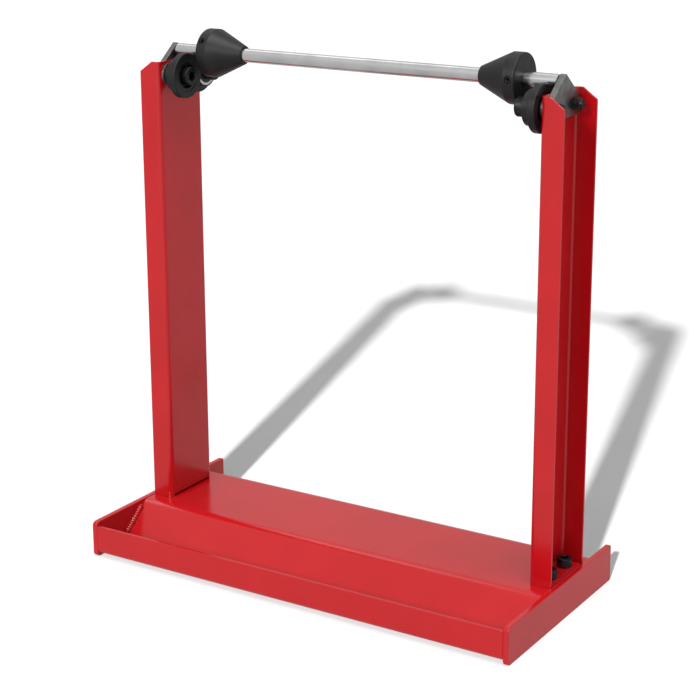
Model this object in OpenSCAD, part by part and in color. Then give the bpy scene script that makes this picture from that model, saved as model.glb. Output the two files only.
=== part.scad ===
// Motorcycle wheel balancing stand: a folded tray base carries two channel
// uprights. Each upright holds a pair of ball-bearing rollers, and a shaft with
// two sliding cones rests in the notch between the rollers.
// The stand runs along X. The origin is on the floor under the middle of the base.

/* [Base] */
// Overall length of the base along X
base_length = 420; // [380:5:600]
// Overall depth of the base along Y
base_depth = 195; // [160:5:300]
// Height of the two end plates
end_plate_height = 33; // [28:1:60]
// Thickness of the end plates
end_plate_thickness = 5; // [3:0.5:8]
// Radius of the end plates' corners
end_plate_corner = 4; // [1:0.5:8]
// Thickness of the folded tray sheet
tray_sheet = 3; // [1.5:0.5:4]
// Inside radius of the sharp folds in the tray
tray_fold = 2.5; // [1:0.5:5]
// Middle radius of the wide folds along the deck
deck_fold = 13; // [6:1:20]
// Width of the raised deck along Y
deck_width = 92; // [80:1:120]
// Angle of the front slope below the horizontal
front_slope = 40; // [35:1:60]
// Gap between the floor and the lowest part of the tray
floor_gap = 3; // [1:0.5:6]
// Height of the top of the front lip above the floor
lip_top = 29.5; // [20:0.5:32]
// Leg of the fillet welds between tray and end plates
weld_leg = 3.5; // [2:0.5:5]

/* [Uprights] */
// Height of the uprights above the deck
upright_height = 406; // [250:1:600]
// Width of an upright's flanges along X
flange_width = 20.5; // [20:0.5:35]
// Width of an upright along Y
upright_depth = 62; // [60:1:80]
// Thickness of the upright's sheet
upright_sheet = 2; // [1.5:0.5:3]
// Outside radius of the upright's folds
upright_fold = 4.5; // [3.5:0.5:6]
// Distance from the middle of the base back to the middle of the uprights
setback = 18.5; // [10:0.5:25]
// Length along X of the cut at the flanges' top corners
corner_cut_x = 12.5; // [4:0.5:14]
// Drop of the cut at the flanges' top corners
corner_cut_z = 9; // [3:0.5:20]
// Spacing of the two foot bolts in each upright
foot_bolt_spacing = 28; // [20:1:36]
// Nominal diameter of the foot bolts
foot_bolt_d = 8; // [6:1:8]

/* [Rollers] */
// Diameter of a roller's flange
roller_d = 39.5; // [36:0.5:50]
// Width of a roller's flange
roller_flange = 6.5; // [5:0.5:10]
// Width of a roller's hub
roller_hub = 7; // [5:0.5:7.5]
// Wall of the hub around the bearing
hub_wall = 1.5; // [1:0.25:4]
// Outside diameter of the roller bearings
bearing_d = 26; // [24:0.5:32]
// Width of the roller bearings
bearing_width = 8; // [8:0.5:10]
// Nominal diameter of the axle bolts
axle_d = 10; // [8:0.5:10]
// Length of the axle bolts under the head
axle_length = 30; // [28:1:34]
// Distance from the top of the upright down to the axles
axle_drop = 11.8; // [8:0.2:30]
// Length of the spacer sleeve between washer and bearing
spacer_length = 6; // [4:0.5:12]
// Thickness of the end-stop plate
stop_plate = 5; // [4:0.5:8]
// Distance from an axle hole's middle to the end-stop plate's edge along Y
stop_margin_side = 8.5; // [6:0.25:9]
// Distance from an axle hole's middle down to the end-stop plate's lower edge
stop_margin = 9; // [8:0.5:30]
// Angle of the end-stop plate's two roof edges below the horizontal
roof_angle = 38; // [25:1:45]

/* [Shaft and cones] */
// Diameter of the balancing shaft
shaft_d = 12; // [8:0.5:16]
// Gap between each end of the shaft and its end-stop plate
shaft_end_gap = 1; // [0.5:0.5:4]
// Diameter of a cone's cylindrical band
cone_d = 42; // [34:1:44]
// Length of a cone's cylindrical band
cone_band = 10.5; // [8:0.5:16]
// Length of a cone's tapered part
cone_taper = 28; // [15:1:60]
// Wall of a cone's small end around the shaft
cone_tip_wall = 2; // [1.5:0.5:6]
// Distance from the left cone's large end to the axle bolts' heads
left_cone_gap = 6; // [1:0.5:20]
// Distance from the right cone's large end to the axle bolts' heads
right_cone_gap = 2.5; // [1:0.5:20]
// Nominal diameter of the cones' grub screws
grub_d = 6; // [5:0.5:7]
// Height of the front side's grub screw direction above the horizontal
right_grub_angle = 4; // [0:1:90]
// Height of the left cone's grub screw direction above the horizontal
left_grub_angle = 35; // [0:1:90]

/* [Clearances] */
// Radial clearance of the cones on the shaft and of the axles in the bearings
running_gap = 0.05; // [0.03:0.01:0.1]
// Gap between the shaft and the rollers that it rests on
rest_gap = 0.2; // [0.1:0.05:0.3]
// Gap between one roller's flange and its neighbour's hub
roller_gap = 0.75; // [0.5:0.25:2]
// Radial clearance of bolts in plain holes
hole_gap = 0.5; // [0.25:0.25:1]
// Gap between the balls and their grooves
ball_gap = 0.12; // [0.1:0.01:0.15]

/* [Hidden] */
$fn = 64;

RED = [0.76, 0.12, 0.14];
ZINC = [0.72, 0.73, 0.74];
BRIGHT = [0.85, 0.86, 0.87];
BLACK = [0.07, 0.07, 0.07];
OXIDE = [0.11, 0.11, 0.12];

// Levels of the base
deck_inset = 0.5;
tray_low = floor_gap + tray_sheet / 2;
deck_top = end_plate_height - deck_inset;
deck_mid = deck_top - tray_sheet / 2;
tray_half = base_length / 2 - end_plate_thickness;

// Places along Y of the deck's two edges and of the front slope's foot
deck_front = setback - deck_width / 2;
deck_rear = setback + deck_width / 2;
slope_foot = deck_front - (deck_mid - tray_low) / tan(front_slope);

// The tray's middle line in the Y-Z plane, from the front lip to the rear foot
tray_line = [
    [-base_depth / 2 + tray_sheet / 2, lip_top],
    [-base_depth / 2 + tray_sheet / 2, tray_low],
    [slope_foot, tray_low],
    [deck_front, deck_mid],
    [deck_rear, deck_mid],
    [base_depth / 2 - tray_sheet / 2 - deck_inset, tray_low]
];
fold_mid = tray_fold + tray_sheet / 2;
tray_folds = [fold_mid, fold_mid, deck_fold, deck_fold];

// Places along X, measured outward from the middle of the stand
web_out = tray_half - flange_width + upright_sheet;
web_in = web_out - upright_sheet;
plate_out = web_out + stop_plate;
washer_thickness = 2;
bearing_out = web_in - washer_thickness - spacer_length;
bearing_in = bearing_out - bearing_width;
head_height = axle_d;
head_in = bearing_in - head_height;

// Levels and spacings of the rollers and the shaft
upright_top = deck_top + upright_height;
axle_z = upright_top - axle_drop;
hub_r = bearing_d / 2 + hub_wall;
axle_spacing = roller_d / 2 + hub_r + roller_gap;
centre_distance = (roller_d + shaft_d) / 2 + rest_gap;
shaft_z = axle_z + sqrt(centre_distance ^ 2 - (axle_spacing / 2) ^ 2);
shaft_half = web_out - shaft_end_gap;
roof_rise = 0.6;
roof_top = shaft_z + shaft_d / 2 + roof_rise;

// Sizes inside a roller bearing. The balls fill three fifths of the space between
// bore and outside, or less where the shields leave less room for the cage.
// land_gap is the radial distance from the balls' pitch circle to a ring's shoulder.
ball_count = 7;
ball_share = 0.6;
shield_thickness = 0.6;
shield_inset = 0.3;
shield_gap = 0.2;
cage_rim = 0.3;
cage_room = bearing_width / 2 - shield_inset - shield_thickness - shield_gap;
ball_r = min(ball_share * (bearing_d - axle_d) / 4, cage_room - cage_rim - ball_gap);
pitch_r = (bearing_d + axle_d) / 4;
land_gap = 0.8 * ball_r;
groove_r = ball_r + ball_gap;
cage_half_wall = 0.3 * ball_r;

// Foot of an upright
foot_bolt_x = web_out + (tray_half - web_out) / 2;
foot_head_r = head_share(foot_bolt_d) * foot_bolt_d;
foot_hole_r = foot_bolt_d / 2 + hole_gap;
foot_bolt_length = 2 * foot_bolt_d;
foot_washer = 1.6;
foot_nut_share = 0.85;

// Radius of a cap screw's head as a share of the thread's diameter, from the
// standard heads of 16 mm on M10 and 13 mm on M8
function head_share(d) = d > 9 ? 0.8 : 0.8125;

// Outlines

function unit(v) = v / norm(v);
function left_of(v) = [-v.y, v.x];

// Angle from direction a to direction b, positive to the left
function turn(a, b) = atan2(a.x * b.y - a.y * b.x, a * b);

// One rounded corner of a sheet's side; s is 1 on the left side and -1 on the right
function corner(a, p, b, r, t, s, n = 8) =
    let (d = unit(p - a), bend = turn(d, unit(b - p)), way = sign(bend),
         c = p - d * r * tan(abs(bend) / 2) + way * r * left_of(d),
         from = atan2(d.y, d.x) - 90 * way)
    [for (i = [0 : n])
        let (w = from + bend * i / n)
        c + (r - way * s * t / 2) * [cos(w), sin(w)]];

// One whole side of a sheet that follows a middle line
function side(line, folds, t, s) =
    let (last = len(line) - 1)
    concat(
        [line[0] + s * t / 2 * left_of(unit(line[1] - line[0]))],
        [for (i = [1 : last - 1])
            each corner(line[i - 1], line[i], line[i + 1], folds[i - 1], t, s)],
        [line[last] + s * t / 2 * left_of(unit(line[last] - line[last - 1]))]
    );

// The closed outline of a folded sheet of thickness t
function sheet(line, folds, t) =
    let (a = side(line, folds, t, 1), b = side(line, folds, t, -1))
    concat(a, [for (i = [len(b) - 1 : -1 : 0]) b[i]]);

// A quarter circle of radius r about c, starting at angle w
function quarter(c, r, w, n = 6) =
    [for (i = [0 : n]) c + r * [cos(w + 90 * i / n), sin(w + 90 * i / n)]];

// Placing

// Draws along X what is given as an outline in the Y-Z plane
module along_x(from, to) {
    translate([from, 0, 0])
        rotate([90, 0, 90])
        linear_extrude(to - from)
        children();
}

// Turns a shape drawn up the Z axis so that it points along +X
module lay_x() {
    rotate([0, 90, 0]) children();
}

// Puts a right-hand shape on its own side; the left side is turned half round
module at_side(left) {
    translate([0, setback, 0])
        rotate([0, 0, left ? 180 : 0])
        children();
}

// Puts a shape on one of the four axles. The shape is drawn for the right-hand
// side with its axle along X. On each side the near roller has its flange next
// to the upright, and the far roller is turned round.
module on_axle(left, near) {
    at_side(left)
        translate([0, (near ? -1 : 1) * axle_spacing / 2, axle_z])
        children();
}

// A ring about Z from z0 to z1
module ring(r_out, r_in, z0, z1) {
    translate([0, 0, z0])
        difference() {
            cylinder(r = r_out, h = z1 - z0);
            translate([0, 0, -1]) cylinder(r = r_in, h = z1 - z0 + 2);
        }
}

// A socket-head cap screw along +Z with its head below z = 0
module cap_screw(d, length) {
    head_r = d * head_share(d);
    edge = 0.06 * d;
    difference() {
        rotate_extrude()
            polygon([
                [0, -d], [head_r - edge, -d], [head_r, edge - d], [head_r, 0],
                [d / 2, 0], [d / 2, length - edge], [d / 2 - edge, length], [0, length]
            ]);
        translate([0, 0, -d - 1])
            cylinder(d = 0.8 * d / cos(30), h = d / 2 + 1, $fn = 6);
    }
}

// Base

module base_tray() {
    color(RED)
        difference() {
            along_x(-tray_half, tray_half) polygon(sheet(tray_line, tray_folds, tray_sheet));
            for (left = [true, false])
                foot_bolt_places(left)
                translate([0, 0, deck_top - 2 * tray_sheet])
                cylinder(r = foot_hole_r, h = 3 * tray_sheet);
        }
}

module end_plate(from) {
    half = base_depth / 2 - end_plate_corner;
    top = end_plate_height - end_plate_corner;
    color(RED)
        along_x(from, from + end_plate_thickness)
        polygon(concat(
            quarter([-half, end_plate_corner], end_plate_corner, 180),
            quarter([half, end_plate_corner], end_plate_corner, 270),
            quarter([half, top], end_plate_corner, 0),
            quarter([-half, top], end_plate_corner, 90)
        ));
}

module left_end_plate() {
    end_plate(-base_length / 2);
}

module right_end_plate() {
    end_plate(tray_half);
}

// A fillet weld in the corner between the front slope and an end plate
module weld(left) {
    run = norm([deck_front - slope_foot, deck_mid - tray_low]);
    cut = deck_fold * tan(front_slope / 2);
    color(RED)
        translate([left ? -tray_half : tray_half, slope_foot, tray_low])
        rotate([front_slope, 0, 0])
        translate([0, fold_mid, tray_sheet / 2])
        rotate([-90, 0, 0])
        linear_extrude(run - cut - fold_mid)
        polygon([[0, 0], [left ? weld_leg : -weld_leg, 0], [0, -weld_leg]]);
}

module left_weld() {
    weld(true);
}

module right_weld() {
    weld(false);
}

// Uprights

// The two foot-bolt places of an upright, at the floor's level
module foot_bolt_places(left) {
    at_side(left)
        for (s = [-1, 1])
            translate([foot_bolt_x, s * foot_bolt_spacing / 2, 0])
            children();
}

// The channel opens outward. Its web turns outward at the bottom into a foot tab.
module upright(left) {
    t = upright_sheet;
    y = upright_depth / 2 - t / 2;
    x = web_in + t / 2;
    edge = tray_half;
    fold = upright_fold - t / 2;
    foot_rise = deck_top + 2 * upright_fold;
    tab_half = upright_depth / 2 - upright_fold;
    tab_end = edge - 1;
    color(RED)
        at_side(left)
        difference() {
            union() {
                translate([0, 0, foot_rise])
                    linear_extrude(upright_top - foot_rise)
                    polygon(sheet([[edge, -y], [x, -y], [x, y], [edge, y]], [fold, fold], t));
                for (s = [-1, 1])
                    translate([web_in + upright_fold, s * y - t / 2, deck_top])
                    cube([edge - web_in - upright_fold, t, 2 * upright_fold]);
                translate([0, tab_half, 0])
                    rotate([90, 0, 0])
                    linear_extrude(2 * tab_half)
                    polygon(sheet(
                        [[x, foot_rise], [x, deck_top + t / 2], [tab_end, deck_top + t / 2]],
                        [fold], t
                    ));
            }
            translate([0, upright_depth, 0])
                rotate([90, 0, 0])
                linear_extrude(2 * upright_depth)
                polygon([
                    [edge - corner_cut_x, upright_top],
                    [edge, upright_top - corner_cut_z],
                    [edge + 1, upright_top - corner_cut_z],
                    [edge + 1, upright_top + 1],
                    [edge - corner_cut_x, upright_top + 1]
                ]);
            for (s = [-1, 1]) {
                translate([web_in - 1, s * axle_spacing / 2, axle_z])
                    lay_x()
                    cylinder(r = axle_d / 2 + hole_gap, h = t + 2);
                translate([foot_bolt_x, s * foot_bolt_spacing / 2, deck_top - 1])
                    cylinder(r = foot_hole_r, h = t + 2);
            }
        }
}

module left_upright() {
    upright(true);
}

module right_upright() {
    upright(false);
}

module foot_bolts(left) {
    color(OXIDE)
        foot_bolt_places(left)
        translate([0, 0, deck_top + upright_sheet])
        mirror([0, 0, 1])
        cap_screw(foot_bolt_d, foot_bolt_length);
}

module left_foot_bolts() {
    foot_bolts(true);
}

module right_foot_bolts() {
    foot_bolts(false);
}

module foot_washers() {
    under = deck_top - tray_sheet;
    color(ZINC)
        for (left = [true, false])
            foot_bolt_places(left)
            ring(foot_bolt_d, foot_bolt_d / 2 + hole_gap / 2, under - foot_washer, under);
}

module foot_nuts() {
    under = deck_top - tray_sheet - foot_washer;
    high = foot_nut_share * foot_bolt_d;
    color(ZINC)
        for (left = [true, false])
            foot_bolt_places(left)
            translate([0, 0, under - high])
            difference() {
                cylinder(r = foot_head_r / cos(30), h = high, $fn = 6);
                translate([0, 0, -1]) cylinder(r = foot_bolt_d / 2 + running_gap, h = high + 2);
            }
}

// The end-stop plate: a square lower half with a pointed roof behind the shaft's end
module stop_plate_part(left) {
    half = axle_spacing / 2 + stop_margin_side;
    eave = roof_top - half * tan(roof_angle);
    low = axle_z - stop_margin;
    color(ZINC)
        at_side(left)
        difference() {
            along_x(web_out, plate_out)
                polygon([[-half, low], [half, low], [half, eave], [0, roof_top], [-half, eave]]);
            for (s = [-1, 1])
                translate([web_out - 1, s * axle_spacing / 2, axle_z])
                lay_x()
                cylinder(r = axle_d / 2 + running_gap, h = stop_plate + 2);
        }
}

module left_stop_plate() {
    stop_plate_part(true);
}

module right_stop_plate() {
    stop_plate_part(false);
}

// Rollers

// Places a roller, drawn up the Z axis from its hub end, on its axle
module roller_place(left, near) {
    on_axle(left, near)
        translate([near ? bearing_in : bearing_out, 0, 0])
        rotate([0, near ? 90 : -90, 0])
        children();
}

module roller(left, near) {
    r = roller_d / 2;
    wide = roller_hub + roller_flange;
    shoulder = bearing_d / 2 - 2;
    edge = 0.8;
    color(BLACK)
        roller_place(left, near)
        rotate_extrude()
        polygon([
            [bearing_d / 2, 0], [hub_r - edge / 2, 0], [hub_r, edge / 2],
            [hub_r, roller_hub], [r - edge, roller_hub], [r, roller_hub + edge],
            [r, wide - edge], [r - edge, wide], [shoulder, wide],
            [shoulder, bearing_width], [bearing_d / 2, bearing_width]
        ]);
}

// The ring-shaped groove that the balls run in
module ball_groove() {
    translate([0, 0, bearing_width / 2])
        rotate_extrude()
        translate([pitch_r, 0])
        circle(r = groove_r);
}

module bearing_outer(left, near) {
    color(BRIGHT)
        roller_place(left, near)
        difference() {
            ring(bearing_d / 2, pitch_r + land_gap, 0, bearing_width);
            ball_groove();
        }
}

module bearing_inner(left, near) {
    color(BRIGHT)
        roller_place(left, near)
        difference() {
            ring(pitch_r - land_gap, axle_d / 2 + running_gap, 0, bearing_width);
            ball_groove();
        }
}

module bearing_shields(left, near) {
    far_face = bearing_width - shield_inset;
    color(OXIDE)
        roller_place(left, near) {
            ring(pitch_r + land_gap, pitch_r - land_gap + shield_gap,
                shield_inset, shield_inset + shield_thickness);
            ring(pitch_r + land_gap, pitch_r - land_gap + shield_gap,
                far_face - shield_thickness, far_face);
        }
}

// The places of a bearing's balls
module ball_places() {
    for (i = [0 : ball_count - 1])
        rotate([0, 0, 360 * i / ball_count])
        translate([pitch_r, 0, bearing_width / 2])
        children();
}

module bearing_balls(left, near) {
    color(BRIGHT)
        roller_place(left, near)
        ball_places()
        sphere(r = ball_r);
}

module bearing_cage(left, near) {
    half = groove_r + cage_rim;
    middle = bearing_width / 2;
    color("goldenrod")
        roller_place(left, near)
        difference() {
            ring(pitch_r + cage_half_wall, pitch_r - cage_half_wall, middle - half, middle + half);
            ball_places()
                translate([-2 * ball_r, 0, 0])
                lay_x()
                cylinder(r = groove_r, h = 4 * ball_r);
        }
}

module axle_bolt(left, near) {
    color(OXIDE)
        on_axle(left, near)
        translate([bearing_in, 0, 0])
        lay_x()
        cap_screw(axle_d, axle_length);
}

module spacer(left, near) {
    color(ZINC)
        on_axle(left, near)
        lay_x()
        ring(pitch_r - land_gap, axle_d / 2 + hole_gap / 2, bearing_out, bearing_out + spacer_length);
}

module washer(left, near) {
    color(ZINC)
        on_axle(left, near)
        lay_x()
        ring(axle_d, axle_d / 2 + hole_gap / 2, web_in - washer_thickness, web_in);
}

// The left side is turned half round, so its near roller is the rear one
module left_front_roller() { roller(true, false); }
module left_rear_roller() { roller(true, true); }
module right_front_roller() { roller(false, true); }
module right_rear_roller() { roller(false, false); }

module left_front_bearing_outer() { bearing_outer(true, false); }
module left_rear_bearing_outer() { bearing_outer(true, true); }
module right_front_bearing_outer() { bearing_outer(false, true); }
module right_rear_bearing_outer() { bearing_outer(false, false); }

module left_front_bearing_inner() { bearing_inner(true, false); }
module left_rear_bearing_inner() { bearing_inner(true, true); }
module right_front_bearing_inner() { bearing_inner(false, true); }
module right_rear_bearing_inner() { bearing_inner(false, false); }

module left_front_bearing_shields() { bearing_shields(true, false); }
module left_rear_bearing_shields() { bearing_shields(true, true); }
module right_front_bearing_shields() { bearing_shields(false, true); }
module right_rear_bearing_shields() { bearing_shields(false, false); }

module left_front_bearing_balls() { bearing_balls(true, false); }
module left_rear_bearing_balls() { bearing_balls(true, true); }
module right_front_bearing_balls() { bearing_balls(false, true); }
module right_rear_bearing_balls() { bearing_balls(false, false); }

module left_front_bearing_cage() { bearing_cage(true, false); }
module left_rear_bearing_cage() { bearing_cage(true, true); }
module right_front_bearing_cage() { bearing_cage(false, true); }
module right_rear_bearing_cage() { bearing_cage(false, false); }

module left_front_axle_bolt() { axle_bolt(true, false); }
module left_rear_axle_bolt() { axle_bolt(true, true); }
module right_front_axle_bolt() { axle_bolt(false, true); }
module right_rear_axle_bolt() { axle_bolt(false, false); }

module left_front_spacer() { spacer(true, false); }
module left_rear_spacer() { spacer(true, true); }
module right_front_spacer() { spacer(false, true); }
module right_rear_spacer() { spacer(false, false); }

module left_front_washer() { washer(true, false); }
module left_rear_washer() { washer(true, true); }
module right_front_washer() { washer(false, true); }
module right_rear_washer() { washer(false, false); }

// Shaft and cones

module shaft() {
    edge = 0.6;
    r = shaft_d / 2;
    color(BRIGHT)
        translate([-shaft_half, setback, shaft_z])
        lay_x()
        rotate_extrude()
        polygon([
            [0, 0], [r - edge, 0], [r, edge],
            [r, 2 * shaft_half - edge], [r - edge, 2 * shaft_half], [0, 2 * shaft_half]
        ]);
}

// The place along X of a cone's large end
function cone_out(left) = left ? left_cone_gap - head_in : head_in - right_cone_gap;

// Turns a shape drawn up +Z so that it points forward and up from a cone's band
module grub_place(left, angle) {
    side = left ? -1 : 1;
    translate([cone_out(left) - side * cone_band / 2, setback, shaft_z])
        rotate([90 - angle, 0, 0])
        children();
}

module cone(left, angle) {
    edge = 1;
    r = cone_d / 2;
    bore = shaft_d / 2 + running_gap;
    long = cone_band + cone_taper;
    color(BLACK)
        difference() {
            translate([cone_out(left), setback, shaft_z])
                rotate([0, left ? 90 : -90, 0])
                rotate_extrude()
                polygon([
                    [bore, 0], [r - edge, 0], [r, edge], [r, cone_band],
                    [shaft_d / 2 + cone_tip_wall, long], [bore, long]
                ]);
            grub_place(left, angle)
                cylinder(r = grub_d / 2 + running_gap, h = cone_d);
        }
}

module left_cone() {
    cone(true, left_grub_angle);
}

module right_cone() {
    cone(false, right_grub_angle);
}

// A headless screw from just above the shaft to just under the band's surface
module grub_screw(left, angle) {
    sunk = 0.5;
    low = shaft_d / 2 + 2 * running_gap;
    long = cone_d / 2 - sunk - low;
    color(OXIDE)
        grub_place(left, angle)
        translate([0, 0, low])
        difference() {
            cylinder(r = grub_d / 2, h = long);
            translate([0, 0, long - grub_d / 2])
                cylinder(r = grub_d / 4 / cos(30), h = grub_d, $fn = 6);
        }
}

module left_grub_screw() {
    grub_screw(true, left_grub_angle);
}

module right_grub_screw() {
    grub_screw(false, right_grub_angle);
}

base_tray();
left_end_plate();
right_end_plate();
left_weld();
right_weld();
left_upright();
right_upright();
left_foot_bolts();
right_foot_bolts();
foot_washers();
foot_nuts();
left_stop_plate();
right_stop_plate();
left_front_roller();
left_rear_roller();
right_front_roller();
right_rear_roller();
left_front_bearing_outer();
left_rear_bearing_outer();
right_front_bearing_outer();
right_rear_bearing_outer();
left_front_bearing_inner();
left_rear_bearing_inner();
right_front_bearing_inner();
right_rear_bearing_inner();
left_front_bearing_shields();
left_rear_bearing_shields();
right_front_bearing_shields();
right_rear_bearing_shields();
left_front_bearing_balls();
left_rear_bearing_balls();
right_front_bearing_balls();
right_rear_bearing_balls();
left_front_bearing_cage();
left_rear_bearing_cage();
right_front_bearing_cage();
right_rear_bearing_cage();
left_front_axle_bolt();
left_rear_axle_bolt();
right_front_axle_bolt();
right_rear_axle_bolt();
left_front_spacer();
left_rear_spacer();
right_front_spacer();
right_rear_spacer();
left_front_washer();
left_rear_washer();
right_front_washer();
right_rear_washer();
shaft();
left_cone();
right_cone();
left_grub_screw();
right_grub_screw();
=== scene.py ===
"""Motorcycle wheel balancing stand.

Every piece is modelled here in metres around the CAD frame, rides on the body of
the CAD nodes that it replaces, and gets a procedural material. X runs along the
stand, the floor is at z = 0, and the operator stands on the -Y side.
"""

import math

import bmesh
import bpy
from bpy.props import FloatProperty, FloatVectorProperty, PointerProperty, StringProperty
from mathutils import Matrix, Vector


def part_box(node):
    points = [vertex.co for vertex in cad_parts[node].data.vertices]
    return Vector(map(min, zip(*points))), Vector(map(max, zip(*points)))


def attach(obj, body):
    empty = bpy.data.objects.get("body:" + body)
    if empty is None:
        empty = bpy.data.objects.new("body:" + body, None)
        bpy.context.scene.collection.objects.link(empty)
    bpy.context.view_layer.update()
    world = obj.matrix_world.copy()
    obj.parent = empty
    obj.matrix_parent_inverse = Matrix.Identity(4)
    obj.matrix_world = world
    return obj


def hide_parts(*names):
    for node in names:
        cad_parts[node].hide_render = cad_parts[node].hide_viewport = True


bl_info = {
    "name": "Wheel balancing stand",
    "version": (1, 0, 0),
    "blender": (4, 5, 0),
    "location": "View3D > Sidebar > Balancing stand",
    "description": "Models a motorcycle wheel balancing stand piece by piece around its CAD frame",
    "category": "Object",
}

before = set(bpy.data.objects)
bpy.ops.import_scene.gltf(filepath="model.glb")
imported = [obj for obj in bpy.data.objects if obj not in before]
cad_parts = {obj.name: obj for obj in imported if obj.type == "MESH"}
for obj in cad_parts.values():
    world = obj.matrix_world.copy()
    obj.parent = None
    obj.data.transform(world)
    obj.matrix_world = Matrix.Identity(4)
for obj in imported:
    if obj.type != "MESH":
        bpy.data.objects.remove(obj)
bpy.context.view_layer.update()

MM = 0.001

SIDES = {"left": -1, "right": 1}
ENDS = {"front": -1, "rear": 1}
PLACES = [(side, end) for side in SIDES for end in ENDS]

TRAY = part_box("base_tray")
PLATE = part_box("right_end_plate")
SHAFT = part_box("shaft")
SHAFT_AXIS = (SHAFT[0] + SHAFT[1]) / 2
SHAFT_R = (SHAFT[1].z - SHAFT[0].z) / 2 / MM


# Sizes and colours that a user would change


def length(name, description, default):
    """A length property whose default is given in millimetres."""
    return FloatProperty(
        name=name, description=description, default=default * MM, min=0.0, unit="LENGTH", precision=5
    )


def angle(name, description, default):
    """An angle property whose default is given in degrees."""
    return FloatProperty(
        name=name, description=description, default=math.radians(default), unit="ROTATION"
    )


def paint(name, description, default):
    """A colour property that holds an sRGB hex value."""
    return StringProperty(name=name, description=description, default=default)


class BaseSizes(bpy.types.PropertyGroup):
    sheet: length("Tray sheet", "Thickness of the folded tray sheet", 3)
    fold: length("Sharp fold", "Middle radius of the sharp folds in the tray", 4)
    deck_fold: length("Deck fold", "Middle radius of the wide folds along the deck", 13)
    deck_front: length("Deck front", "How far the deck's front fold lies before the middle", 27.5)
    deck_rear: length("Deck rear", "How far the deck's rear fold lies behind the middle", 64.5)
    front_slope: angle("Front slope", "Angle of the front slope below the horizontal", 40)
    lip_top: length("Lip top", "Height of the front lip's top edge", 29.5)
    rear_gap: length("Rear gap", "How far the rear slope ends inside the end plates", 0.5)
    edge: length("Edge", "Rounding of the cut edges under the paint", 0.5)
    plate_corner: length("Plate corner", "Radius of the end plates' front corners", 4)
    rear_corner: length("Rear corner", "Radius of the end plates' rear corners", 1.5)
    plate_edge: length("Plate edge", "Rounding of the end plates' edges", 0.7)
    weld_leg: length("Weld leg", "Leg of the fillet welds on the front slope", 3.5)
    weld_pitch: length("Weld pitch", "Distance between two ripples of a weld bead", 2.4)


class UprightSizes(bpy.types.PropertyGroup):
    sheet: length("Sheet", "Thickness of the uprights' sheet", 2)
    fold: length("Fold", "Outside radius of the uprights' folds", 4.5)
    cut_x: length("Corner cut along X", "Length of the cut at the flanges' top corners", 12.5)
    cut_z: length("Corner cut drop", "Drop of the cut at the flanges' top corners", 9)
    tab_inset: length("Tab inset", "How far the foot tab ends inside the flanges' edges", 1)
    edge: length("Edge", "Rounding of the cut edges under the paint", 0.35)
    roof_angle: angle("Roof angle", "Angle of the end-stop plates' roof edges", 38)
    plate_corner: length("Plate corner", "Radius of the end-stop plates' corners", 0.6)
    plate_edge: length("Plate edge", "Rounding of the end-stop plates' edges", 0.4)


class FastenerSizes(bpy.types.PropertyGroup):
    hole_gap: length("Hole gap", "Radial clearance of a bolt in a plain hole", 0.5)
    thread_gap: length("Thread gap", "Radial clearance of a bolt in a tapped hole", 0.05)
    foot_bolt: length("Foot bolt", "Nominal diameter of the foot bolts", 8)
    foot_length: length("Foot bolt length", "Length of the foot bolts under the head", 16)
    foot_pitch: length("Foot bolt pitch", "Pitch of the foot bolts' thread", 1.25)
    foot_head: length("Foot bolt head", "Diameter of the foot bolts' heads", 13)
    washer_bore: length("Washer bore", "Bore of the foot bolts' washers", 8.5)
    washer: length("Washer", "Outside diameter of the foot bolts' washers", 16)
    washer_sheet: length("Washer sheet", "Thickness of the foot bolts' washers", 1.6)
    nut: length("Nut", "Size of the foot bolts' nuts across flats", 13)
    nut_height: length("Nut height", "Height of the foot bolts' nuts", 6.8)
    axle: length("Axle bolt", "Nominal diameter of the axle bolts", 10)
    axle_length: length("Axle bolt length", "Length of the axle bolts under the head", 30)
    axle_pitch: length("Axle bolt pitch", "Pitch of the axle bolts' thread", 1.5)
    axle_head: length("Axle bolt head", "Diameter of the axle bolts' heads", 16)
    axle_plain: length("Axle bolt shank", "Length of the axle bolts' plain shank", 15)
    sleeve_bore: length("Sleeve bore", "Bore of the spacer sleeves and their washers", 10.5)
    grub: length("Grub screw", "Nominal diameter of the cones' grub screws", 6)
    grub_pitch: length("Grub screw pitch", "Pitch of the grub screws' thread", 1)
    grub_sunk: length("Grub screw sunk", "How far a grub screw ends under its cone's surface", 0.5)


class RollerSizes(bpy.types.PropertyGroup):
    hub: length("Hub width", "Width of a roller's hub", 7)
    hub_wall: length("Hub wall", "Wall of the hub around the bearing", 1.5)
    bearing: length("Bearing", "Outside diameter of the bearing in the roller", 26)
    bearing_width: length("Bearing width", "Width of the bearing in the roller", 8)
    shoulder: length("Shoulder", "Height of the shoulder that stops the bearing", 2)
    rim_edge: length("Rim edge", "Rounding of the flange's edges", 0.8)
    fillet: length("Fillet", "Fillet between hub and flange", 0.6)
    mouth: length("Mouth", "Width of the step around the hole in a roller's face", 2.5)
    mouth_depth: length("Mouth depth", "Depth of the step around the hole in a roller's face", 0.5)


class ShaftSizes(bpy.types.PropertyGroup):
    chamfer: length("Chamfer", "Chamfer at the shaft's ends", 0.6)
    centre_mark: length("Centre mark", "Radius of the centre drilling in the shaft's ends", 1.6)
    band: length("Band", "Length of a cone's cylindrical band", 10.5)
    tip_wall: length("Tip wall", "Wall of a cone's small end around the shaft", 2)
    bore_gap: length("Bore gap", "Radial clearance of a cone on the shaft", 0.05)
    cone_edge: length("Cone edge", "Rounding of a cone's edges", 1.6)
    right_grub_angle: angle("Right grub screw", "Height of its direction above the horizontal", 4)
    left_grub_angle: angle("Left grub screw", "Height of its direction above the horizontal", 35)


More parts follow.
